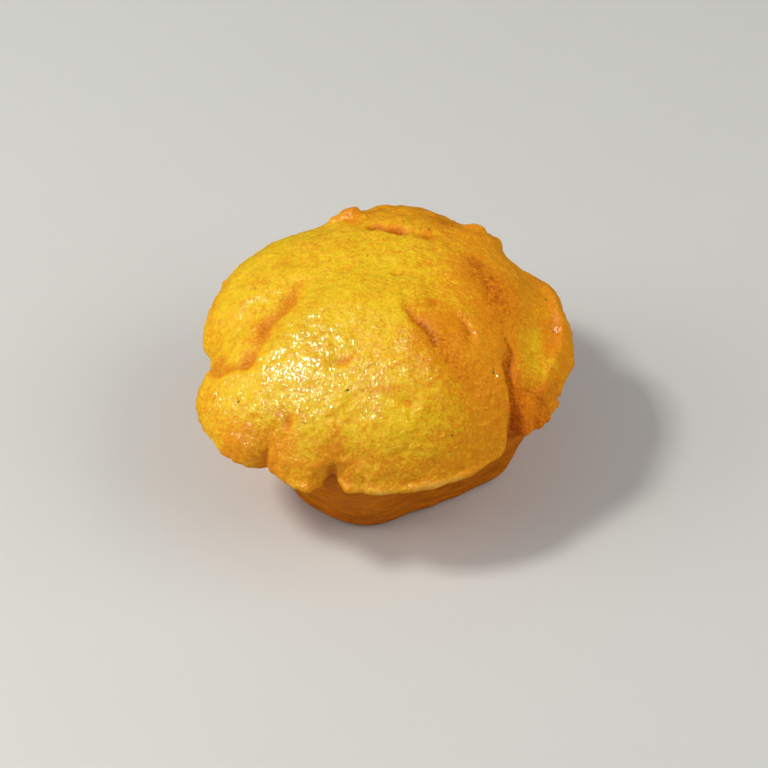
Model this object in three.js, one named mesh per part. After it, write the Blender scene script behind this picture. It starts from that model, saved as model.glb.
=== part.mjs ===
// A cornbread muffin, baked in a greased round tin: a tapered stump with soft corners, and over it
// the cap, which rose, spilled over the tin and set as a lumpy dome with an uneven, torn rim.
// It is one solid. Millimetres, +Z up, the origin on the flat base under the middle of the cap, and
// the side where the rim is torn most deeply towards -Y. Angles go round from +X, in degrees.
import * as THREE from "three";

const { clamp, lerp, radToDeg, smoothstep } = THREE.MathUtils;

// Driving dimensions.
const muffinHeight = 47; // from the base to the top of the dome, before its swells
const capRadius = 39.3; // of the cap's rim, before its lobes and tears
const rimHeight = 27; // of the cap's rim, on average
const rimLift = 2; // how far the rim is up at the back and down at the front
const rimRound = 1.6; // radius of the rim's edge
const baseRadius = 25.8; // of the stump where it meets the tin's floor
const baseRound = 4; // radius between the floor and the wall
const wallFlare = 0.34; // how far the wall leans out for each millimetre up
const overhang = 4; // from the rim down to the top of the stump
const neckRound = 2.4; // how softly the wall turns into the cap's underside
const stumpCentre = [0, -1.2]; // of the stump's outline, under a cap that spilled further back

// The batter filled the tin unevenly, so the stump's outline has soft corners and a flat side.
const stumpCorners = [
  { at: 254, spread: 20, swell: 1.8 },
  { at: 297, spread: 20, swell: -1.8 },
  { at: 333, spread: 20, swell: 2.2 },
  { at: 62, spread: 24, swell: 1.2 },
  { at: 160, spread: 26, swell: 1.4 },
];

// Where the cap's rim swells out past capRadius, or draws in.
const rimLobes = [
  { at: 211, spread: 18, swell: 4.6 },
  { at: 229, spread: 8, swell: 1 },
  { at: 245, spread: 9, swell: 2.4 },
  { at: 268, spread: 10, swell: 1.2 },
  { at: 312, spread: 14, swell: -2 },
  { at: 2, spread: 28, swell: 1 },
  { at: 38, spread: 10, swell: -2.2 },
  { at: 60, spread: 7, swell: 1.6 },
  { at: 70, spread: 6, swell: -1.2 },
  { at: 87, spread: 13, swell: 2.4 },
  { at: 103, spread: 4, swell: 0.8 },
  { at: 119, spread: 12, swell: -2 },
  { at: 155, spread: 17, swell: 1.6 },
  { at: 183, spread: 10, swell: -0.6 },
];
const lobeReach = 0.35; // share of the radius where the lobes begin

// Tears in the rim, which only reach a little way in from it.
const rimTears = [
  { at: 253, spread: 3.2, swell: -4.2 },
  { at: 193, spread: 4, swell: -2 },
  { at: 233, spread: 2.8, swell: -1.2 },
  { at: 317, spread: 4.5, swell: -1.6 },
  { at: 50, spread: 3, swell: -0.8 },
];
const tearReach = 0.93; // share of the radius where the tears begin

// The dome's shape from its top to its rim: (1 - share ^ power) ^ fullness.
const domePower = 2.6;
const domeFullness = 0.62;

// Folds where one lobe of batter ran against another: valleys in the dome, drawn in plan.
const folds = [
  { from: [18, 14], bend: [26, -4], to: [26.5, -28], depth: 2.6, width: 3 },
  { from: [-16, 0], bend: [-24, -7], to: [-29, -17], depth: 2, width: 2.6 },
  { from: [-28, -16], bend: [-33, -13], to: [-40, -9], depth: 1.6, width: 2.4 },
  { from: [1, -2], bend: [8, -16], to: [20, -28], depth: 1.1, width: 2.8 },
  { from: [-9, 23], bend: [4, 16], to: [18, 18], depth: 1.5, width: 3 },
];
const foldSteps = 10; // straight stretches along a fold
const foldFade = 0.08; // share of a fold's arc of depth that is cut off at each end

// Broad rises and hollows of the dome between the folds.
const swells = [
  { at: [-8, -12], spread: 13, rise: 1.2 },
  { at: [34, -3], spread: 9, rise: -2.2 },
  { at: [8, -27], spread: 9, rise: 0.8 },
  { at: [-30, 5], spread: 8, rise: 0.8 },
  { at: [4, 31], spread: 8, rise: 1 },
];
const reliefEdge = 0.3; // share of the dome's height over which folds and swells come in

// How finely the skin is divided: spokes round the axis, and rings in each stretch of the profile.
const spokes = 120;
const rings = { floor: 2, foot: 3, wall: 4, neck: 3, under: 3, edge: 4, dome: 19 };

const quarter = Math.PI / 2;
const bell = (gap, spread) => Math.exp(-((gap / spread) ** 2));

// What a list of lobes adds to a radius at an angle.
function swellAt(lobes, angle) {
  let sum = 0;
  for (const { at, spread, swell } of lobes) {
    const gap = radToDeg(angle) - at;
    sum += swell * bell(gap - 360 * Math.round(gap / 360), spread);
  }
  return sum;
}

// The cap's outline, at a share of the way from the axis to the rim.
function capOutline(angle, share) {
  const lobes = smoothstep(share, lobeReach, 1) * swellAt(rimLobes, angle);
  const tears = smoothstep(share, tearReach, 1) * swellAt(rimTears, angle);
  return capRadius + lobes + tears;
}

const rimLevel = (angle) => rimHeight + rimLift * Math.sin(angle);

// Each fold as short straight stretches along its curve.
const foldLines = folds.map(({ from, bend, to, depth, width }) => {
  const [start, middle, end] = [from, bend, to].map((p) => new THREE.Vector2(...p));
  const curve = new THREE.QuadraticBezierCurve(start, middle, end);
  return { points: curve.getPoints(foldSteps), depth, width };
});

// How deep a fold is at a point in plan: deepest halfway along it, and nothing far from it.
function foldDepth({ points, depth, width }, here) {
  let deepest = 0;
  for (let i = 0; i < foldSteps; i++) {
    const stretch = points[i + 1].clone().sub(points[i]);
    const along = here.clone().sub(points[i]).dot(stretch) / stretch.lengthSq();
    const place = clamp(along, 0, 1);
    const nearest = points[i].clone().addScaledVector(stretch, place);
    const share = lerp(foldFade, 1 - foldFade, (i + place) / foldSteps);
    const cut = depth * Math.sin(Math.PI * share) * bell(here.distanceTo(nearest), width);
    deepest = Math.max(deepest, cut);
  }
  return deepest;
}

// How far the folds and swells lift the dome at a point in plan.
function relief(x, y) {
  const here = new THREE.Vector2(x, y);
  let height = 0;
  for (const fold of foldLines) height -= foldDepth(fold, here);
  for (const { at, spread, rise } of swells)
    height += rise * bell(Math.hypot(x - at[0], y - at[1]), spread);
  return height;
}

// A point of the dome, at a share of the way from the axis to the rim.
function domePoint(angle, share) {
  const radius = share * capOutline(angle, share);
  const x = radius * Math.cos(angle);
  const y = radius * Math.sin(angle);
  const rise = (1 - share ** domePower) ** domeFullness;
  const level = lerp(rimHeight, rimLevel(angle), share);
  const settle = smoothstep(rise, 0, reliefEdge);
  return [x, y, level + (muffinHeight - level) * rise + settle * relief(x, y)];
}

// The profile from the middle of the base to the rim at one angle, as points of [radius, height,
// how far the point belongs to the stump (1) or to the cap (0)].
function lowerProfile(angle) {
  const foot = baseRadius + swellAt(stumpCorners, angle);
  const rim = capOutline(angle, 1);
  const level = rimLevel(angle);
  const wallTop = level - overhang - neckRound;
  const neck = foot + wallFlare * (wallTop - baseRound);
  const underLevel = level - rimRound;
  const underEnd = Math.max(rim - rimRound, neck + neckRound);
  const points = [];
  const along = (count, place) => {
    for (let i = 1; i <= count; i++) points.push(place(i / count));
  };
  along(rings.floor, (s) => [s * (foot - baseRound), 0, 1]);
  along(rings.foot, (s) => [
    foot - baseRound + baseRound * Math.sin(s * quarter),
    baseRound * (1 - Math.cos(s * quarter)),
    1,
  ]);
  along(rings.wall, (s) => [lerp(foot, neck, s), lerp(baseRound, wallTop, s), 1]);
  along(rings.neck, (s) => [
    neck + neckRound * (1 - Math.cos(s * quarter)),
    wallTop + neckRound * Math.sin(s * quarter),
    1 - s / 2,
  ]);
  along(rings.under, (s) => [
    lerp(neck + neckRound, underEnd, s),
    lerp(wallTop + neckRound, underLevel, s),
    (1 - s) / 2,
  ]);
  along(rings.edge, (s) => [
    underEnd + (rim - underEnd) * Math.sin(s * quarter),
    underLevel + rimRound * (1 - Math.cos(s * quarter)),
    0,
  ]);
  return points;
}

// The whole skin: a grid of spokes and rings, closed by one point below and one on top.
function muffinGeometry() {
  const [stumpX, stumpY] = stumpCentre;
  const positions = [stumpX, stumpY, 0];
  const faces = [];
  for (let i = 0; i < spokes; i++) {
    const angle = (4 * quarter * i) / spokes;
    for (const [radius, height, stump] of lowerProfile(angle)) {
      const x = radius * Math.cos(angle) + stump * stumpX;
      const y = radius * Math.sin(angle) + stump * stumpY;
      positions.push(x, y, height);
    }
    for (let j = 1; j < rings.dome; j++)
      positions.push(...domePoint(angle, Math.cos((j / rings.dome) * quarter)));
  }
  const top = positions.length / 3;
  positions.push(...domePoint(0, 0));
  const perSpoke = (top - 1) / spokes;
  const at = (spoke, ring) => 1 + (spoke % spokes) * perSpoke + ring;
  for (let i = 0; i < spokes; i++) {
    faces.push(0, at(i + 1, 0), at(i, 0));
    for (let j = 0; j + 1 < perSpoke; j++) {
      faces.push(at(i, j), at(i + 1, j), at(i, j + 1));
      faces.push(at(i + 1, j), at(i + 1, j + 1), at(i, j + 1));
    }
    faces.push(at(i, perSpoke - 1), at(i + 1, perSpoke - 1), top);
  }
  const geometry = new THREE.BufferGeometry();
  geometry.setAttribute("position", new THREE.Float32BufferAttribute(positions, 3));
  geometry.setIndex(faces);
  geometry.computeBoundingBox();
  const middle = geometry.boundingBox.getCenter(new THREE.Vector3());
  geometry.translate(-middle.x, -middle.y, 0);
  geometry.computeVertexNormals();
  return geometry;
}

const crust = new THREE.MeshStandardMaterial({ color: 0xe6a626, roughness: 0.45, metalness: 0 });
const muffin = new THREE.Mesh(muffinGeometry(), crust);
muffin.name = "muffin";

const part = new THREE.Group();
part.add(muffin);
export default part;
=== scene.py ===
# A buttered cornbread muffin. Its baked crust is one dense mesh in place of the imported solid, and the
# flecks of bran in it are another. Shapes are worked out in millimetres and made in metres.
import math

import bpy
import numpy as np
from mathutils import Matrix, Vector, noise
from mathutils.bvhtree import BVHTree


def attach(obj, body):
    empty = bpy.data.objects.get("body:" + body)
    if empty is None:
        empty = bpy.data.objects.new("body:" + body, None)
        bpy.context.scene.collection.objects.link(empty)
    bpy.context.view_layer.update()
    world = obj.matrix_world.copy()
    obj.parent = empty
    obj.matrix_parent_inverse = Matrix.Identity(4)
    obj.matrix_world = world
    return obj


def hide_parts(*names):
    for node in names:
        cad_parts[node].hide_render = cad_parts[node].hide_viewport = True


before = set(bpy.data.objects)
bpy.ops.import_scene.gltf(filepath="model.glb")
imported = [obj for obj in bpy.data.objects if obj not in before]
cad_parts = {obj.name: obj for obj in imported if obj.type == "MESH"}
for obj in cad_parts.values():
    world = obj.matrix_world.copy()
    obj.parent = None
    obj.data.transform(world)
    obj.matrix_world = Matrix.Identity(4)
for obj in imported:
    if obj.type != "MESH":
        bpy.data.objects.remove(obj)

mm = 0.001
quarterTurn = math.pi / 2
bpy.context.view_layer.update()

# The muffin's shape. Angles are in degrees round from the right-hand side, and a share is how far
# out towards the rim a place is. Lobes, corners, rises and tears are (angle, spread, swell).
muffin = {
    # as the tin shaped it
    "stump": {
        "radius": 25.8,         # at the tin's floor
        "floorRound": 4.0,      # between the floor and the wall
        "flare": 0.34,          # outwards for each millimetre up
        "centre": (0.0, -1.2),  # the cap spilled further back
        "corners": [
            (228, 10, 0.8), (254, 20, 1.8), (286, 14, -2.2), (303, 8, -1.2), (316, 13, -1.0),
            (341, 14, 2.9), (62, 24, 1.2), (160, 26, 1.4),
        ],
    },
    # the cap's outline and the lip that hangs over the stump
    "rim": {
        "radius": 39.3,
        "height": 27.0,
        "lift": 2.0,            # up at the back, down at the front
        "rises": [(252.6, 2.6, 1.8), (272, 26, 0.6)],   # the lip is higher over the cleft
        "riseFrom": 0.88,       # share where the rises begin
        "lipRound": 1.5,
        "overhang": 4.0,        # from the lip down to the top of the stump's wall
        "neckRound": 2.4,
        "lobes": [
            (211, 18, 5.0), (226, 7, 2.2), (245, 9, 3.6), (268, 10, 0.9), (312, 14, -2.0), (332, 6, 1.2),
            (346, 6, -0.8), (0, 28, 0.9), (22, 6, 0.9), (37, 9, -3.6), (61, 6, -0.2), (76, 6, 0.5),
            (87, 13, 1.7), (97, 3, -0.9), (110, 6, -1.0), (119, 12, -1.8), (155, 17, 0.9), (176, 4, 0.2),
            (188, 7, -2.4),
        ],
        "lobeFrom": 0.35,       # share where the lobes begin
        "tears": [
            (252.4, 2.8, -4.6), (249.6, 1.0, -0.8), (256.5, 1.2, -0.9), (245.2, 0.9, -1.0),
            (241.8, 0.9, -0.7), (193, 3.2, -2.0), (232.6, 1.1, -1.6), (317, 2.6, -3.0), (47, 2.2, -0.5),
            (108.5, 1.8, -0.8), (66, 2.0, -0.9),
        ],
        "tearFrom": 0.93,
        # the uneven edge: (waves round the rim, seed, height)
        "ragged": [(5.5, 0.3, 0.42), (13, 2.7, 0.34), (27, 5.1, 0.26), (55, 7.9, 0.32), (88, 4.4, 0.22)],
        # the thin lip in front
        "brim": {"angles": (236, 314), "soft": 10, "width": 1.1, "thick": 0.8, "fullness": 0.74},
    },
    # from its top (share 0) to the rim (share 1)
    "dome": {
        "height": 46.6,
        "power": 2.6,
        "fullness": 0.62,
        "turnsAt": 0.72,        # past this share the skin is cut outwards, not upwards
    },
    # the right-hand lobe has a raised rim around a shallow basin
    "flange": {
        "angles": (-36, 26), "soft": 14,
        "ridgeAt": 0.93, "ridge": 1.7, "ridgeSides": (0.022, 0.04),
        "basinAt": 0.81, "basin": 1.1, "basinSpread": 0.08,
    },
    # the hump that rose last and stands over its neighbours
    "hump": {"middle": (-4.5, -20.5), "half": (22.0, 20.5), "rise": 2.2, "edge": 0.34},
    # broad rises and hollows: (x, y, spread, rise)
    "swells": [
        (35, -4, 9.5, -3.4), (33, -20, 7, -1.6), (8, -27, 9, 0.8), (-30, 5, 8, 0.8), (4, 31, 8, 0.3),
        (-33, -20, 6, 0.6), (16, 4, 6, 0.6), (25, 21.5, 5, 2.4), (31.5, 13.5, 5, -2.2), (-16, 24, 5, -0.7),
    ],
    "swellsEndAt": 0.84,        # share past which the hump and the swells die out
    # small lumps of batter grown onto the skin: (x, y, z, half sizes, turn)
    "lumps": [
        (-7.9, 28.6, 40.2, (2.7, 2.3, 2.2), 12), (-10.7, 28.0, 39.1, (2.2, 1.7, 1.6), -20),
        (19.0, 25.3, 39.2, (3.0, 1.8, 1.3), -15), (23.6, 24.0, 36.4, (2.2, 1.4, 1.1), -35),
        (-15.0, -35.6, 24.3, (2.6, 1.6, 0.5), -24),
    ],
    # burst bubbles and dents: (x, y, half length, half width, turn, depth)
    "pits": [
        (-28.4, -16.4, 1.6, 1.4, 20, 1.5), (-34.5, -11.0, 1.2, 2.3, 10, 1.5),
        (-2.4, 20.9, 1.5, 1.0, 25, 2.6), (2.1, 19.5, 2.0, 1.1, -12, 3.4), (8.6, 17.2, 1.5, 1.9, 30, 0.8),
        (-19.8, -30.6, 1.5, 1.1, 60, 1.0), (2.3, 3.0, 1.8, 0.8, 0, 0.8), (9.7, -5.8, 1.3, 1.2, 0, 0.9),
        (4.2, -29.2, 2.0, 0.9, 0, 0.8), (-8.4, -21.4, 2.2, 1.0, 10, 0.8), (-30.2, -23.8, 1.0, 0.8, 0, 0.6),
        (25.5, -14.4, 0.8, 1.4, 0, 0.8), (22.1, -19.2, 0.8, 0.9, 0, 0.8), (19.6, 10.2, 2.4, 2.0, 30, 0.5),
        (31.9, -19.2, 1.9, 1.0, 20, 0.8), (-12.5, 2.0, 1.1, 0.8, 0, 0.5), (13.4, -31.6, 1.0, 0.8, 0, 0.6),
        (-15.4, -25.6, 2.0, 0.7, 12, 0.5),
    ],
    # how many rings of points each stretch of the skin has, and how many spokes go round it
    "rings": {"floor": 14, "foot": 16, "wall": 44, "neck": 12, "under": 16, "edge": 14, "dome": 130},
    "spokes": 840,
    "lumpGrid": (20, 10),       # round and up
    "evenSize": 0.475,          # of the skin's final, even mesh
    "evenPasses": 1,            # of smoothing after that
}

# Folds, where one lobe of batter ran against another, as (path, depth, width, step). The path is a
# curve in plan that starts, bends and ends at three points, and the step lifts the batter on its left
# side over that on the right.
folds = {
    "right, upper": ([(16, 14), (24, 5), (25, -13)], 0.45, 3.5, 0.2),
    "right, lower": ([(24.6, -10), (25.3, -17), (27.2, -30)], 2.4, 1.0, -0.7),
    "left": ([(-17.0, 2.5), (-22.6, -5.5), (-27.4, -16)], 1.3, 1.8, 0.3),
    "left notch": ([(-28, -18), (-34, -14.5), (-41, -9)], 1.4, 1.5, 0.0),
    "middle": ([(5.5, -11), (10.5, -21), (19.5, -26)], 0.5, 1.8, -0.6),
    "middle, start": ([(4.0, -6.5), (6.2, -11.5), (9.0, -17.5)], 1.0, 1.1, -0.4),
    "back": ([(-6, 24), (4, 17.5), (18, 18)], 0.6, 2.4, 0.0),
    "small lip": ([(14.8, -7.0), (16.8, -11), (18.8, -16.5)], 0.6, 0.9, 0.6),
    "flange foot": ([(27, -20), (32, -19.4), (36.5, -12)], 1.3, 1.1, 0.5),
    "crinkle": ([(29.5, -24.5), (33.5, -22.0), (37.0, -15)], 0.5, 0.7, 0.3),
    "crinkle, inner": ([(30.0, -15.5), (33.0, -15.0), (35.6, -10)], 0.45, 0.7, 0.3),
    "front lobe": ([(-23, -29), (-21, -32), (-20.5, -36)], 0.3, 1.4, 0.2),
}
foldWays = {
    "wobble": 0.7,              # how far a fold wanders
    "wobbleOver": 4.3,
    "waves": (2.6, 2.2),        # how quickly it wanders, across and along
    "curl": 1.4,
    "fade": 0.06,               # leaves a little of a fold's depth at its ends
    "bluntness": 0.7,           # below 1, its ends are blunter
    "stepReach": 5.0,           # how far from a fold its step dies out
    "pieces": 28,               # straight stretches that stand for the curve
}


def bell(gap, spread):
    return np.exp(-((gap / spread) ** 2))


def smooth(value, low, high):
    share = np.clip((value - low) / (high - low), 0, 1)
    return share * share * (3 - 2 * share)


def mix(a, b, share):
    return a + (b - a) * share


def swellAt(lobes, angle):
    total = np.zeros_like(angle)
    for at, spread, swell in lobes:
        gap = np.degrees(angle) - at
        total += swell * bell(gap - 360 * np.round(gap / 360), spread)
    return total


# 1 between two angles and 0 away from them, with soft ends
def between(angle, ends, soft):
    start, end = ends
    turn = np.degrees(angle) - (start + end) / 2
    away = np.abs(turn - 360 * np.round(turn / 360)) - (end - start) / 2
    return 1 - smooth(away, -soft, 0)


# an uneven line round the rim, the same where it meets itself
def roundNoise(angle, waves, seed):
    flat = angle.ravel()
    values = [noise.noise(Vector((math.cos(a) * waves, math.sin(a) * waves, seed))) for a in flat]
    return np.array(values).reshape(angle.shape)


def capOutline(angle, share, ragged):
    rim = muffin["rim"]
    lobes = smooth(share, rim["lobeFrom"], 1) * swellAt(rim["lobes"], angle)
    tears = smooth(share, rim["tearFrom"], 1) * (swellAt(rim["tears"], angle) + ragged)
    return rim["radius"] + lobes + tears


def rimLevel(angle, share=1.0):
    rim = muffin["rim"]
    tilted = rim["height"] + rim["lift"] * np.sin(angle) * share
    return tilted + swellAt(rim["rises"], angle) * smooth(share, rim["riseFrom"], 1)


# the nearest place on a fold: the signed distance to it (left is positive) and the share along it
def foldPlace(path, x, y):
    start, bend, end = (np.array(p, float) for p in path)
    pieces = foldWays["pieces"]
    t = np.linspace(0, 1, pieces + 1)[:, None]
    line = (1 - t) ** 2 * start + 2 * t * (1 - t) * bend + t ** 2 * end
    best = np.full(x.shape, np.inf)
    side = np.zeros(x.shape)
    along = np.zeros(x.shape)
    for i in range(pieces):
        step = line[i + 1] - line[i]
        fromX, fromY = x - line[i, 0], y - line[i, 1]
        place = np.clip((fromX * step[0] + fromY * step[1]) / (step @ step), 0, 1)
        gap = np.hypot(fromX - place * step[0], fromY - place * step[1])
        nearer = gap < best
        best = np.where(nearer, gap, best)
        side = np.where(nearer, np.sign(step[0] * fromY - step[1] * fromX), side)
        along = np.where(nearer, (i + place) / pieces, along)
    return best * side, along


def foldRelief(path, depth, width, step, x, y):
    gap, along = foldPlace(path, x, y)
    fade = foldWays["fade"]
    strength = np.sin(math.pi * mix(fade, 1 - fade, along)) ** foldWays["bluntness"]
    cut = -depth * bell(gap, width)
    lifted = step * np.tanh(gap / width) * np.exp(-np.abs(gap) / foldWays["stepReach"])
    return strength * (cut + lifted)


# the folds and the pits, which cut into the skin wherever they lie
def sharpRelief(x, y):
    height = np.zeros_like(x)
    reach, over, curl = foldWays["wobble"], foldWays["wobbleOver"], foldWays["curl"]
    across, lengthways = foldWays["waves"]
    wanderX = x + reach * np.sin(y / over * across + curl * np.sin(x / over))
    wanderY = y + reach * np.sin(x / over * lengthways + curl * np.sin(y / over))
    for fold in folds.values():
        height += foldRelief(*fold, wanderX, wanderY)
    for atX, atY, halfLong, halfWide, turn, depth in muffin["pits"]:
        c, s = math.cos(math.radians(turn)), math.sin(math.radians(turn))
        u = ((x - atX) * c + (y - atY) * s) / halfLong
        v = ((y - atY) * c - (x - atX) * s) / halfWide
        height -= depth * bell(np.hypot(u, v), 1)
    return height


# the hump and the swells, which only lift the dome
def broadRelief(x, y):
    height = np.zeros_like(x)
    for atX, atY, spread, rise in muffin["swells"]:
        height += rise * bell(np.hypot(x - atX, y - atY), spread)
    hump = muffin["hump"]
    (middleX, middleY), (halfX, halfY) = hump["middle"], hump["half"]
    fromMiddle = np.hypot((x - middleX) / halfX, (y - middleY) / halfY)
    return height + hump["rise"] * (1 - smooth(fromMiddle, 1 - hump["edge"], 1 + hump["edge"]))


# The sharp relief acts along the skin's own direction: up on top of the dome, outwards at the rim.
def domeRows(angle, share, ragged):
    dome, flange, brim = muffin["dome"], muffin["flange"], muffin["rim"]["brim"]
    outline = capOutline(angle, share, ragged)
    inFront = between(angle, brim["angles"], brim["soft"])
    body = 1 - inFront * brim["width"] / outline
    fullness = mix(dome["fullness"], brim["fullness"], inFront)
    rise = (1 - np.minimum(share / body, 1) ** dome["power"]) ** fullness
    pastBody = np.clip((share - body) / np.maximum(1 - body, 1e-6), 0, 1)
    lipTop = inFront * brim["thick"] * np.sqrt(1 - pastBody ** 2)
    level = rimLevel(angle, share)
    fromRidge = share - flange["ridgeAt"]
    ridge = flange["ridge"] * bell(fromRidge, np.where(fromRidge < 0, *flange["ridgeSides"]))
    basin = flange["basin"] * bell(share - flange["basinAt"], flange["basinSpread"])
    radius = share * outline
    x, y = radius * np.cos(angle), radius * np.sin(angle)
    cut = sharpRelief(x, y)
    outwards = smooth(share, dome["turnsAt"], 1)
    radius = radius + cut * outwards
    z = level + lipTop + (dome["height"] - level - lipTop) * rise + cut * (1 - outwards)
    z = z + between(angle, flange["angles"], flange["soft"]) * (ridge - basin)
    z = z + broadRelief(x, y) * (1 - smooth(share, muffin["swellsEndAt"], 1))
    return radius * np.cos(angle), radius * np.sin(angle), z


# from the middle of the floor out and up to the lip's edge; a row is its radius, its height and how
# far it follows the stump's own centre
def lowerRows(angle, ragged):
    stump, rim, rings = muffin["stump"], muffin["rim"], muffin["rings"]
    footRound, neckRound, lipRound = stump["floorRound"], rim["neckRound"], rim["lipRound"]
    foot = stump["radius"] + swellAt(stump["corners"], angle)
    edge = capOutline(angle, np.ones_like(angle), ragged)
    edge = edge + sharpRelief(edge * np.cos(angle), edge * np.sin(angle))
    level = rimLevel(angle)
    wallTop = level - rim["overhang"] - neckRound
    neck = foot + stump["flare"] * (wallTop - footRound)
    underLevel = level - lipRound
    underEnd = np.maximum(edge - lipRound, neck + neckRound)
    flat = np.zeros_like(angle)
    rows = []

    def along(stretch, place):
        for i in range(1, rings[stretch] + 1):
            share = i / rings[stretch]
            rows.append(place(share, math.sin(share * quarterTurn), 1 - math.cos(share * quarterTurn)))

    along("floor", lambda s, out, up: (s * (foot - footRound), flat, 1.0))
    along("foot", lambda s, out, up: (foot - footRound + footRound * out, flat + footRound * up, 1.0))
    along("wall", lambda s, out, up: (mix(foot, neck, s), mix(footRound, wallTop, s), 1.0))
    along("neck", lambda s, out, up: (neck + neckRound * up, wallTop + neckRound * out, 1 - s / 2))
    along("under", lambda s, out, up: (
        mix(neck + neckRound, underEnd, s), mix(wallTop + neckRound, underLevel, s), (1 - s) / 2))
    along("edge", lambda s, out, up: (underEnd + (edge - underEnd) * out, underLevel + lipRound * up, 0.0))
    centreX, centreY = stump["centre"]
    x = np.stack([radius * np.cos(angle) + follows * centreX for radius, z, follows in rows], 1)
    y = np.stack([radius * np.sin(angle) + follows * centreY for radius, z, follows in rows], 1)
    z = np.stack([z for radius, z, follows in rows], 1)
    return x, y, z


# the whole skin as a grid of spokes and rings, closed by a point below and one on top
def muffinPoints():
    spokes, domeRings = muffin["spokes"], muffin["rings"]["dome"]
    angle = np.arange(spokes) * 2 * math.pi / spokes
    ragged = sum(height * roundNoise(angle, waves, seed) for waves, seed, height in muffin["rim"]["ragged"])
    lower = lowerRows(angle, ragged)
    share = np.cos(np.arange(1, domeRings) / domeRings * quarterTurn)
    upper = domeRows(angle[:, None], share[None, :], ragged[:, None])
    skin = np.stack([np.concatenate([a, b], 1) for a, b in zip(lower, upper)], 2)
    rings = skin.shape[1]
    top = np.stack(domeRows(np.zeros(1), np.zeros(1), np.zeros(1)), 1)
    below = np.array([[*muffin["stump"]["centre"], 0.0]])
    points = np.concatenate([skin.reshape(-1, 3), below, top])
    here = np.arange(spokes)[:, None] * rings
    there = (np.arange(spokes)[:, None] + 1) % spokes * rings
    ring = np.arange(rings - 1)[None, :]
    quads = np.stack([here + ring, there + ring, there + ring + 1, here + ring + 1], 2).reshape(-1, 4)
    belowAt, topAt = spokes * rings, spokes * rings + 1
    fans = [(belowAt, t, h) for h, t in zip(here[:, 0], there[:, 0])]
    fans += [(h + rings - 1, t + rings - 1, topAt) for h, t in zip(here[:, 0], there[:, 0])]
    return points, quads.tolist() + fans


def ellipsoid(half, around, upwards):
    tilt = (np.arange(1, upwards) * math.pi / upwards)[:, None]
    spin = (np.arange(around) * 2 * math.pi / around)[None, :]
    rings = [np.sin(tilt) * np.cos(spin), np.sin(tilt) * np.sin(spin), np.cos(tilt) + 0 * spin]
    points = np.concatenate([np.stack(rings, 2).reshape(-1, 3), [[0, 0, 1], [0, 0, -1]]]) * half
    topAt, lowAt = len(points) - 2, len(points) - 1
    faces = []
    for k in range(around):
        after = (k + 1) % around
        faces.append((topAt, k, after))
        for i in range(upwards - 2):
            upper, lower = i * around, (i + 1) * around
            faces.append((upper + k, lower + k, lower + after, upper + after))
        lowest = (upwards - 2) * around
        faces.append((lowAt, lowest + after, lowest + k))
    return points, faces


def turned(points, degrees):
    c, s = math.cos(math.radians(degrees)), math.sin(math.radians(degrees))
    return points @ np.array([[c, s, 0], [-s, c, 0], [0, 0, 1]])


# adds one closed shape's points and faces to those already there
def joined(points, faces, extra, extraFaces):
    shifted = [tuple(len(points) + i for i in face) for face in extraFaces]
    return np.concatenate([points, extra]), faces + shifted


def addObject(name, data):
    made = bpy.data.objects.new(name, data)
    bpy.context.scene.collection.objects.link(made)
    return made


def meshObject(name, points, faces):
    mesh = bpy.data.meshes.new(name)
    mesh.from_pydata((points * mm).tolist(), [], faces)
    mesh.validate()
    return addObject(name, mesh)


def smoothShaded(mesh):
    mesh.polygons.foreach_set("use_smooth", np.ones(len(mesh.polygons), bool))


def readPoints(mesh):
    flat = np.empty(len(mesh.vertices) * 3)
    mesh.vertices.foreach_get("co", flat)
    return flat.reshape(-1, 3)


def readNormals(mesh):
    flat = np.empty(len(mesh.vertices) * 3)
    mesh.vertex_normals.foreach_get("vector", flat)
    return flat.reshape(-1, 3)


def writePoints(mesh, points):
    mesh.vertices.foreach_set("co", points.astype(np.float32).ravel())
    mesh.update()


def neighbourPairs(mesh):
    pairs = np.empty(len(mesh.edges) * 2, int)
    mesh.edges.foreach_get("vertices", pairs)
    return pairs.reshape(-1, 2)


# the average of each point's neighbours, several times over
def relaxed(values, pairs, times):
    a, b = pairs[:, 0], pairs[:, 1]
    count = np.bincount(np.concatenate([a, b]), minlength=len(values))
    out = values.copy()
    for _ in range(times):
        summed = [
            np.bincount(a, out[b, k], len(values)) + np.bincount(b, out[a, k], len(values))
            for k in range(out.shape[1])
        ]
        out = np.stack(summed, 1) / count[:, None]
    return out


def evenSkin(piece):
    remesh = piece.modifiers.new("even skin", "REMESH")
    remesh.mode = "VOXEL"
    remesh.voxel_size = muffin["evenSize"] * mm
    depsgraph = bpy.context.evaluated_depsgraph_get()
    mesh = bpy.data.meshes.new_from_object(piece.evaluated_get(depsgraph))
    piece.modifiers.clear()
    piece.data = mesh
    mesh.name = piece.name


# How the crust is roughened: each grain is (size of its bumps, how high). Other pairs are where
# something sets in and where it is full.
grain = {
    "cap": [(8.0, 0.3), (3.4, 0.27), (1.8, 0.2), (1.05, 0.12)],
    "stump": [(9.0, 0.22), (3.0, 0.08), (1.4, 0.06)],
    "stumpSquash": (1, 1, 1.7),     # flatter grain on the wall
    "blisters": (1.7, 0.18),
    "blistersRise": (0.3, 0.6),     # the noise levels between which one rises
    "craggy": (4.2, 0.55),          # more on the back lobe
    "craggyBack": (18, 28),         # towards the back
    "craggyAcross": (-16, -6),      # and towards the right
    "capBelowRim": (2.4, 0.6),      # the cap's crust, below the rim
    "offFloor": (0.3, 3.0),         # the floor itself stays flat
    "seeds": {"cap": 3, "stump": 13, "craggy": 23, "blisters": 33},
    "seedShift": (7.31, 3.17, 5.73),
}


def noiseAt(points, size, seed):
    shift = Vector([seed * each for each in grain["seedShift"]])
    return np.array([noise.noise(Vector(p) / size + shift) for p in points])


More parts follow.
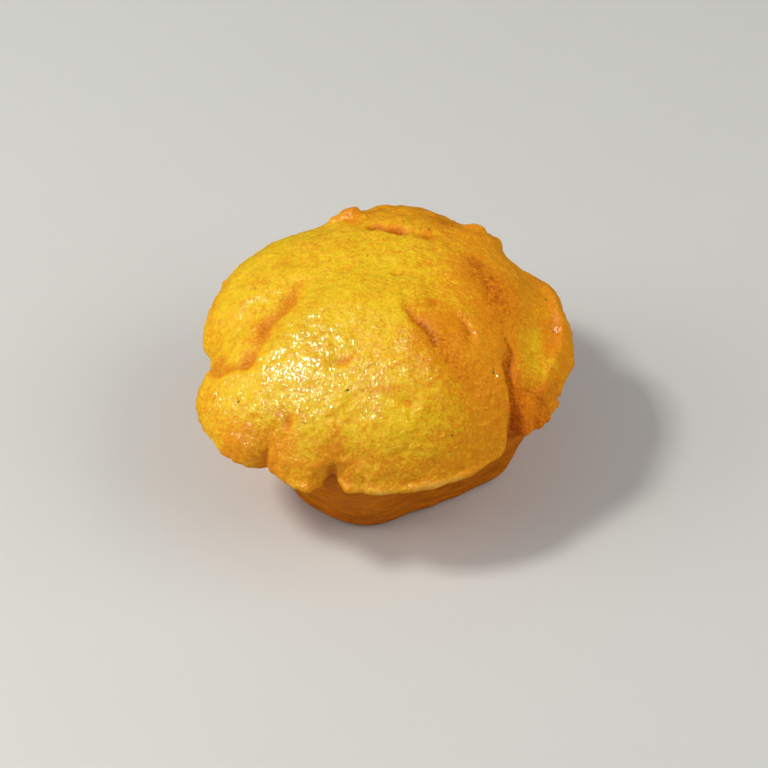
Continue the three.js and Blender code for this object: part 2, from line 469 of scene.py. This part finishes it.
def roughness(co, onCap):
    seeds = grain["seeds"]
    lift = np.zeros(len(co))
    for seed, (size, height) in enumerate(grain["cap"], seeds["cap"]):
        lift += onCap * height * noiseAt(co, size, seed)
    size, height = grain["blisters"]
    lift += onCap * height * smooth(noiseAt(co, size, seeds["blisters"]), *grain["blistersRise"])
    size, height = grain["craggy"]
    back = smooth(co[:, 1], *grain["craggyBack"]) * smooth(co[:, 0], *grain["craggyAcross"])
    lift += onCap * back * height * noiseAt(co, size, seeds["craggy"])
    offFloor = smooth(co[:, 2], *grain["offFloor"])
    for seed, (size, height) in enumerate(grain["stump"], seeds["stump"]):
        lift += (1 - onCap) * offFloor * height * noiseAt(co * grain["stumpSquash"], size, seed)
    return lift


# Where the crust is browner and where it stays pale: partly the oven's browning, partly painted shade
# where less light falls and painted light where more falls. A patch is (x, y, reach in x, reach in y,
# how much). Pairs are where something sets in and where it is full.
baking = {
    # the right-hand side, away from the light, browner: painted shade
    "right": {"across": (0, 24), "amount": 0.85},
    # the rim, browner from a share of the way out, partly as painted shade; on the lit left half as much
    "edge": {
        "from": 0.7, "coolFrom": 0.84, "full": 0.99, "amount": 0.75,
        "left": (-34, -12), "onLeft": 0.5,
    },
    "cool": {"front": (20, 32), "left": (12, 26)},      # the front and left, where only the very rim is browner
    # the back lobe, browner: partly real browning, partly painted shade
    "back": {"depth": (17, 27), "across": (-14, -5), "amount": 0.7},
    "basin": (31.8, -9.5, 4.2, 9, 1),                   # kept yellow as painted light where it faces the light, by so much of each
    "litBasinSpares": {"right": 0.9, "edge": 0.7, "all": 0.35},    # by so much of each
    # browner marks: some real stains, and painted shade in pits, folds and grooves, by the knob and in the
    # small lip's shadow
    "stainsAndShade": [
        (13, 26, 3.2, 3.2, 0.9), (-7.8, 28.4, 2.8, 3.0, 0.8), (19.0, 7.5, 4.2, 4.8, 0.75),
        (23.0, 2.0, 4.5, 5.5, 0.8), (25.5, -5.0, 3.5, 6, 0.4), (26.9, -25.5, 1.6, 3.2, 0.5),
        (32, -19, 2.4, 1.3, 0.3), (-26, -9.5, 3.2, 6, 0.55), (9, -15.5, 5.5, 8, 0.55),
        (13, -18.5, 4.5, 5.5, 0.4), (5, -19, 2.5, 4, 0.25), (-31, -30, 5, 2.4, 0.7),
        (-23.5, -33.5, 4.5, 2.2, 0.6), (2.2, 20.2, 2.2, 1.5, 0.7), (-2.4, 21.1, 1.7, 1.2, 0.6),
        (8.6, 17.6, 1.8, 2.0, 0.3), (16.0, -12.2, 1.3, 2.6, 0.4), (22, -14, 3.5, 6, 0.3),
        (-8.4, -21.4, 2.6, 1.2, 0.35), (-15.4, -25.6, 2.4, 1.0, 0.3), (-19.8, -30.6, 1.8, 1.3, 0.5),
        (-2, -23, 6, 6, 0.18), (-15, 13, 9, 7, 0.13),
    ],
    # where the crust turned a deeper red
    "embers": [
        (30, -24, 4.5, 5.0, 0.8), (26.8, -19, 1.6, 7, 0.7), (37.0, -3, 1.6, 10, 0.4), (24, -1, 5, 8, 0.3),
        (33, -23, 3.5, 3.5, 0.4),
    ],
    "buttered": (-18, -16, 8.5, 15, 1),
    # where a pale painted highlight runs along the thin front lip's edge, stopping at the cleft
    "thinLip": {"angles": (256, 300), "soft": 12, "share": (0.975, 0.998), "cleft": (252.4, 5, 1.0)},
    # a hollow is where the skin, smoothed a little, lies below itself smoothed a lot
    "hollowPasses": (40, 6),
}


def patches(places, co):
    total = np.zeros(len(co))
    for x, y, reachX, reachY, amount in places:
        total += amount * bell(np.hypot((co[:, 0] - x) / reachX, (co[:, 1] - y) / reachY), 1)
    return total


# what the material reads, one value for each point of the crust
def crustValues(co, normal, pairs, angle, share, onCap):
    x, y = co[:, 0], co[:, 1]
    broad, close = (relaxed(co, pairs, times) for times in baking["hollowPasses"])
    right, edge, cool, back = (baking[k] for k in ("right", "edge", "cool", "back"))
    basin = patches([baking["basin"]], co)
    litSpared = baking["litBasinSpares"]
    coolSide = np.maximum(smooth(-y, *cool["front"]), smooth(-x, *cool["left"]))
    nearRim = smooth(share, mix(edge["from"], edge["coolFrom"], coolSide), edge["full"])
    nearRim = nearRim * mix(edge["onLeft"], 1, smooth(x, *edge["left"]))
    backLobe = smooth(y, *back["depth"]) * smooth(x, *back["across"])
    # painted shade: browner towards the right-hand side, less on the lit basin
    pale = 1 - right["amount"] * smooth(x, *right["across"]) * (1 - litSpared["right"] * basin)
    pale = pale * (1 - edge["amount"] * nearRim * (1 - litSpared["edge"] * basin))
    pale = pale * (1 - back["amount"] * backLobe)
    lip = baking["thinLip"]
    alongLip = between(angle, lip["angles"], lip["soft"]) * smooth(share, *lip["share"])
    return {
        "onCap": onCap,
        "hollow": np.einsum("ij,ij->i", broad - close, normal),
        "folded": np.maximum(-sharpRelief(x, y), 0),
        # browning together with painted shade on the right, rims, back, pits and folds, less on the lit
        # basin
        "toastedAndShaded": 1 - pale + patches(baking["stainsAndShade"], co) - litSpared["all"] * basin,
        "buttered": patches([baking["buttered"]], co),
        "thinLip": alongLip * onCap * (1 - swellAt([lip["cleft"]], angle)),
        "ember": np.minimum(patches(baking["embers"], co), 1),
    }


def makeMuffin():
    points, faces = muffinPoints()
    for x, y, z, half, turn in muffin["lumps"]:
        lump, lumpFaces = ellipsoid(half, *muffin["lumpGrid"])
        points, faces = joined(points, faces, turned(lump, turn) + (x, y, z), lumpFaces)
    middle = (points.min(0) + points.max(0)) / 2
    middle[2] = 0
    piece = meshObject("muffinCrust", points - middle, faces)
    evenSkin(piece)
    mesh = piece.data
    pairs = neighbourPairs(mesh)
    co = relaxed(readPoints(mesh) / mm + middle, pairs, muffin["evenPasses"])
    writePoints(mesh, (co - middle) * mm)
    angle = np.arctan2(co[:, 1], co[:, 0])
    share = np.hypot(co[:, 0], co[:, 1]) / capOutline(angle, np.ones_like(angle), np.zeros_like(angle))
    onCap = smooth(co[:, 2], *(rimLevel(angle) - below for below in grain["capBelowRim"]))
    co = co + readNormals(mesh) * roughness(co, onCap)[:, None]
    co[:, 2] = np.maximum(co[:, 2], 0)
    writePoints(mesh, (co - middle) * mm)
    for name, values in crustValues(co, readNormals(mesh), pairs, angle, share, onCap).items():
        mesh.attributes.new(name, "FLOAT", "POINT").data.foreach_set("value", values.astype(np.float32))
    smoothShaded(mesh)
    return piece, middle


class Nodes:
    def __init__(self, name):
        self.material = bpy.data.materials.new(name)
        self.material.use_nodes = True
        self.tree = self.material.node_tree
        self.shader = self.tree.nodes["Principled BSDF"]

    def add(self, kind, **settings):
        node = self.tree.nodes.new(kind)
        for key, value in settings.items():
            setattr(node, key, value)
        return node

    def put(self, target, value):
        if isinstance(value, bpy.types.NodeSocket):
            self.tree.links.new(value, target)
        else:
            target.default_value = value

    def shade(self, name, value):
        self.put(self.shader.inputs[name], value)

    def attribute(self, name):
        return self.add("ShaderNodeAttribute", attribute_name=name).outputs["Fac"]

    # size is in millimetres, and stretch multiplies how quickly the noise changes along x, y and z
    def noise(self, size, detail, roughness, stretch=None):
        node = self.add("ShaderNodeTexNoise")
        where = self.add("ShaderNodeTexCoord").outputs["Object"]
        if stretch:
            mapping = self.add("ShaderNodeMapping")
            self.put(mapping.inputs["Vector"], where)
            mapping.inputs["Scale"].default_value = stretch
            where = mapping.outputs["Vector"]
        self.put(node.inputs["Vector"], where)
        node.inputs["Scale"].default_value = 1 / (size * mm)
        node.inputs["Detail"].default_value = detail
        node.inputs["Roughness"].default_value = roughness
        return node.outputs["Fac"]

    def math(self, operation, a, b):
        node = self.add("ShaderNodeMath", operation=operation)
        self.put(node.inputs[0], a)
        self.put(node.inputs[1], b)
        return node.outputs[0]

    def fit(self, value, low, high, toLow=0.0, toHigh=1.0):
        node = self.add("ShaderNodeMapRange", interpolation_type="SMOOTHSTEP")
        self.put(node.inputs["Value"], value)
        for key, number in (("From Min", low), ("From Max", high), ("To Min", toLow), ("To Max", toHigh)):
            node.inputs[key].default_value = number
        return node.outputs["Result"]

    def bump(self, height, depth):
        node = self.add("ShaderNodeBump")
        node.inputs["Strength"].default_value = 1.0
        node.inputs["Distance"].default_value = depth * mm
        self.put(node.inputs["Height"], height)
        return node.outputs["Normal"]

    # the colour sockets of a mix node are its inputs 6 and 7 and its output 2
    def blend(self, share, a, b):
        node = self.add("ShaderNodeMix", data_type="RGBA")
        self.put(node.inputs["Factor"], share)
        for socket, value in ((node.inputs[6], a), (node.inputs[7], b)):
            self.put(socket, value if isinstance(value, bpy.types.NodeSocket) else (*value, 1))
        return node.outputs[2]


# The crust's finish. Colours are linear light, a noise is (size, detail, roughness, stretch), and a fit
# is (low, high) or (low, high, value at low, value at high).
crustFinish = {
    "yellow": (0.89, 0.59, 0.014),
    "orange": (0.80, 0.28, 0.006),
    # also the painted shade in folds
    "deep": (0.46, 0.088, 0.002),
    "ember": (0.80, 0.19, 0.003),
    "meal": (0.90, 0.50, 0.03),
    # a painted highlight along the thin front lip
    "lipHighlight": (0.95, 0.66, 0.12),
    "stump": (0.49, 0.118, 0.003),
    "golden": (0.70, 0.20, 0.005),
    # each of these adds to how brown the cap is
    "blotches": {"noise": (9, 3, 0.55), "fit": (0.35, 0.75, -0.1, 0.16)},
    "mottling": {"noise": (2.6, 3, 0.6), "fit": (0.3, 0.75, -0.2, 0.25)},
    "freckles": {"noise": (0.9, 2, 0.7), "fit": (0.34, 0.66, -0.28, 0.3)},
    "grit": {"noise": (0.5, 1, 0.6), "fit": (0.3, 0.7, 0.27, -0.27)},
    # painted shade: browner in hollows and folds, where shade falls
    "hollowShade": (0.03, 0.35, 0.0, 0.5),
    "foldShade": (0.1, 1.2, 0.0, 0.6),
    # how much of each colour there is, by how brown the cap is
    "orangeFit": (-0.45, 1.0),
    "emberFit": (0.0, 1.0),
    "deepFit": (1.1, 2.3, 0.0, 0.8),
    # and by the folds (painted shade), the grit and the mottling
    "foldFit": (0.3, 1.5, 0.0, 0.3),
    "mealFit": (0.5, 0.72, 0.0, 0.35),
    "lipHighlightFit": (0.35, 0.6, 0.0, 0.38),
    # the stump's wall, with rings as the tin left them
    "cloudy": {"noise": (5, 4, 0.7, (1, 1, 2.2)), "fit": (0.34, 0.68)},
    "ringed": {"noise": (6, 3, 0.65, (1, 1, 7)), "fit": (0.46, 0.68, 0.0, 0.45)},
    "crumbFit": (0.5, 0.75, 0.0, 0.25),
    # the dry crust
    "dull": {"noise": (3.5, 2, 0.5), "fit": (0.3, 0.7, 0.4, 0.55)},
    "specular": 0.1,
    "glow": {"weight": 0.35, "radius": (1.0, 0.45, 0.1), "depth": 1.4},
    "fineGrain": {
        "fine": (0.6, 3, 0.65),
        "coarse": (1.3, 2, 0.55),
        "coarseShare": 1.2,
        "onStump": 0.6,
        "depth": 0.28,
    },
    # the butter on it: a thin coat with ripples of its own, so that it glints
    "coat": {
        "onStump": 0.2,
        "uneven": {"noise": (4.5, 1, 0.5), "fit": (0.38, 0.6, 0.35, 1.0)},
        "unbuttered": 0.21,
        "foldFit": (0.1, 0.6, 1.0, 0.0),
        "roughness": 0.12,
        "ior": 1.7,
        "ripples": (0.72, 1, 0.5, (1.25, 0.65, 0.85)),
        "depth": 0.46,
    },
}


# The cap's colour: browning and grit, with painted shade away from the light and in hollows and folds, and
# a painted highlight along the thin front lip.
def capColour(n, noises, folded):
    finish = crustFinish
    brownness = n.attribute("toastedAndShaded")
    for name in ("blotches", "mottling", "freckles", "grit"):
        brownness = n.math("ADD", brownness, n.fit(noises[name], *finish[name]["fit"]))
    # painted shade in hollows and folds
    brownness = n.math("ADD", brownness, n.fit(n.attribute("hollow"), *finish["hollowShade"]))
    brownness = n.math("ADD", brownness, n.fit(folded, *finish["foldShade"]))
    ember = n.math("MULTIPLY", n.attribute("ember"), n.fit(brownness, *finish["emberFit"]))
    # painted highlight along the thin front lip
    lipHighlight = n.math("MULTIPLY", n.attribute("thinLip"), n.fit(noises["mottling"], *finish["lipHighlightFit"]))
    colour = n.blend(n.fit(brownness, *finish["orangeFit"]), finish["yellow"], finish["orange"])
    colour = n.blend(ember, colour, finish["ember"])
    colour = n.blend(n.fit(brownness, *finish["deepFit"]), colour, finish["deep"])
    # painted shade: the deep colour laid into the folds
    colour = n.blend(n.fit(folded, *finish["foldFit"]), colour, finish["deep"])
    colour = n.blend(n.fit(noises["grit"], *finish["mealFit"]), colour, finish["meal"])
    return n.blend(lipHighlight, colour, finish["lipHighlight"])


def stumpColour(n, noises):
    finish = crustFinish
    cloudy, ringed = (n.fit(n.noise(*finish[k]["noise"]), *finish[k]["fit"]) for k in ("cloudy", "ringed"))
    colour = n.blend(cloudy, finish["stump"], finish["golden"])
    colour = n.blend(ringed, colour, finish["deep"])
    return n.blend(n.fit(noises["grit"], *finish["crumbFit"]), colour, finish["orange"])


def crustMaterial():
    n = Nodes("buttered crust")
    finish = crustFinish
    onCap, folded = n.attribute("onCap"), n.attribute("folded")
    noises = {k: n.noise(*finish[k]["noise"]) for k in ("blotches", "mottling", "freckles", "grit")}
    n.shade("Base Color", n.blend(onCap, stumpColour(n, noises), capColour(n, noises, folded)))

    dull, glow, fineGrain = finish["dull"], finish["glow"], finish["fineGrain"]
    n.shade("Roughness", n.fit(n.noise(*dull["noise"]), *dull["fit"]))
    n.shade("Specular IOR Level", finish["specular"])
    n.shade("Subsurface Weight", glow["weight"])
    n.shade("Subsurface Radius", glow["radius"])
    n.shade("Subsurface Scale", glow["depth"] * mm)
    coarse = n.math("MULTIPLY", n.noise(*fineGrain["coarse"]), fineGrain["coarseShare"])
    fine = n.math("ADD", n.noise(*fineGrain["fine"]), coarse)
    fine = n.math("MULTIPLY", fine, n.fit(onCap, 0, 1, fineGrain["onStump"], 1))
    n.shade("Normal", n.bump(fine, fineGrain["depth"]))

    coat = finish["coat"]
    uneven = n.fit(n.noise(*coat["uneven"]["noise"]), *coat["uneven"]["fit"])
    weight = n.math("MULTIPLY", n.fit(onCap, 0, 1, coat["onStump"], 1), uneven)
    weight = n.math("MULTIPLY", weight, n.fit(n.attribute("buttered"), 0, 1, coat["unbuttered"], 1))
    n.shade("Coat Weight", n.math("MULTIPLY", weight, n.fit(folded, *coat["foldFit"])))
    n.shade("Coat Roughness", coat["roughness"])
    n.shade("Coat IOR", coat["ior"])
    n.shade("Coat Normal", n.bump(n.noise(*coat["ripples"]), coat["depth"]))
    return n.material


# burnt bits of bran in the crust, each one (x, y, half length, half width, turn)
bran = {
    "placed": [
        (-7.9, -27.0, 0.5, 0.2, 25), (34.3, 7.9, 0.32, 0.22, -20), (29.3, -2.8, 0.26, 0.16, 0),
        (22.1, -19.1, 0.2, 0.34, 0), (-30.2, -23.8, 0.34, 0.18, 30), (13.4, -31.8, 0.24, 0.14, 60),
    ],
    "scattered": 12,            # over the rest of the cap
    "reach": 33,                # from the middle
    "size": (0.12, 0.26),
    "narrow": (0.5, 0.9),       # width as a share of the length
    "thick": 0.12,
    "uneven": (0.8, 1.15),
    "grid": (12, 6),            # round and up
    "dropFrom": 100,            # each is dropped onto the crust from well above it
    "seed": 8,
    "dark": (0.05, 0.013, 0.003),
    "brown": (0.14, 0.042, 0.010),
    "tone": (0.3, 2, 0.6),
    "specular": 0.1,
    "roughness": 0.55,
    "grain": (0.15, 2, 0.6),
    "grainDepth": 0.05,
}


def makeFlecks(crust, middle):
    skin = crust.data
    tree = BVHTree.FromPolygons([v.co for v in skin.vertices], [tuple(p.vertices) for p in skin.polygons])
    draw = np.random.default_rng(bran["seed"])
    places = list(bran["placed"])
    for _ in range(bran["scattered"]):
        spin, out = draw.uniform(0, math.pi), bran["reach"] * math.sqrt(draw.uniform())
        long = draw.uniform(*bran["size"])
        wide = long * draw.uniform(*bran["narrow"])
        places.append((out * math.cos(spin), out * math.sin(spin), long, wide, draw.uniform(0, 180)))
    points, faces = np.zeros((0, 3)), []
    for x, y, halfLong, halfWide, turn in places:
        above = Vector((x - middle[0], y - middle[1], bran["dropFrom"])) * mm
        spot, normal, _, _ = tree.ray_cast(above, Vector((0, 0, -1)))
        shape, shapeFaces = ellipsoid((halfLong, halfWide, bran["thick"]), *bran["grid"])
        shape = shape * draw.uniform(*bran["uneven"], (len(shape), 1))
        tilt = np.array(Vector((0, 0, 1)).rotation_difference(normal).to_matrix())
        shape = turned(shape, turn) @ tilt.T + np.array(spot) / mm
        points, faces = joined(points, faces, shape, shapeFaces)
    piece = meshObject("branFlecks", points, faces)
    smoothShaded(piece.data)
    return piece


def branMaterial():
    n = Nodes("burnt bran")
    n.shade("Base Color", n.blend(n.noise(*bran["tone"]), bran["dark"], bran["brown"]))
    n.shade("Specular IOR Level", bran["specular"])
    n.shade("Roughness", bran["roughness"])
    n.shade("Normal", n.bump(n.noise(*bran["grain"]), bran["grainDepth"]))
    return n.material


floorLook = {
    "half": 3.0,                # metres
    "colour": (0.62, 0.62, 0.62),
    "darker": 0.97,
    "tone": (60, 2, 0.5),
    "roughness": 0.6,
}


def makeFloor():
    half = floorLook["half"]
    mesh = bpy.data.meshes.new("floor")
    corners = [(-half, -half, 0), (half, -half, 0), (half, half, 0), (-half, half, 0)]
    mesh.from_pydata(corners, [], [(0, 1, 2, 3)])
    floor = addObject("floor", mesh)
    floor.visible_glossy = False
    n = Nodes("pale floor")
    darker = tuple(c * floorLook["darker"] for c in floorLook["colour"])
    n.shade("Base Color", n.blend(n.noise(*floorLook["tone"]), darker, floorLook["colour"]))
    n.shade("Roughness", floorLook["roughness"])
    mesh.materials.append(n.material)


# Lights in metres and watts, as (place, size, power). The soft ones light the muffin and don't
# reflect in it. The windows do nothing but glint in the butter.
studio = {
    "soft": {
        "key": ((-0.56, -0.06, 0.8), 0.16, 4.6),
        "side": ((-0.8, -0.1, 0.42), 0.5, 2.6),
        "fill": ((0.72, -0.14, 0.55), 0.8, 4.1),
    },
    "softColour": (1.0, 0.985, 0.92),
    "windows": {
        "window": ((-0.57, -0.05, 0.82), 0.18, 25),
        "low window": ((-0.5, -0.7, 0.5), 0.07, 3),
    },
    "windowColour": (0.93, 1.0, 0.72),
    "aim": (0, 0, 0.03),
    "room": 0.27,
}


def makeLight(name, place, size, power, colour, glints):
    lamp = bpy.data.lights.new(name, "AREA")
    lamp.shape = "SQUARE"
    lamp.size = size
    lamp.energy = power
    lamp.color = colour
    light = addObject(name, lamp)
    light.location = place
    light.visible_diffuse = not glints
    light.visible_glossy = glints
    light.rotation_mode = "QUATERNION"
    light.rotation_quaternion = (Vector(studio["aim"]) - light.location).to_track_quat("-Z", "Y")


def makeLights():
    for name, setup in studio["soft"].items():
        makeLight(name, *setup, studio["softColour"], False)
    for name, setup in studio["windows"].items():
        makeLight(name, *setup, studio["windowColour"], True)
    world = bpy.data.worlds.new("room")
    world.use_nodes = True
    background = world.node_tree.nodes["Background"]
    background.inputs["Color"].default_value = (1, 1, 1, 1)
    background.inputs["Strength"].default_value = studio["room"]
    world.cycles_visibility.glossy = False
    bpy.context.scene.world = world


# the camera looks down at 45 degrees from the front, past the muffin's middle
view = {"elevation": 45.0, "place": (-0.45, -362.0, 379.0), "lens": 110.2, "sensor": 36}


def makeCamera(middle):
    lens = bpy.data.cameras.new("camera")
    lens.lens = view["lens"]
    lens.sensor_width = view["sensor"]
    camera = addObject("camera", lens)
    camera.location = (np.array(view["place"]) - middle) * mm
    camera.rotation_euler = (math.radians(90 - view["elevation"]), 0, 0)
    bpy.context.scene.camera = camera


crust, middle = makeMuffin()
crust.data.materials.append(crustMaterial())
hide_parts("muffin")
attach(crust, "root")
print("crust made:", len(crust.data.vertices), "points")

flecks = makeFlecks(crust, middle)
flecks.data.materials.append(branMaterial())
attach(flecks, "root")
print("flecks made:", len(bran["placed"]) + bran["scattered"])

makeFloor()
makeLights()
makeCamera(middle)
bpy.context.scene.view_settings.view_transform = "Standard"
print("stage set")
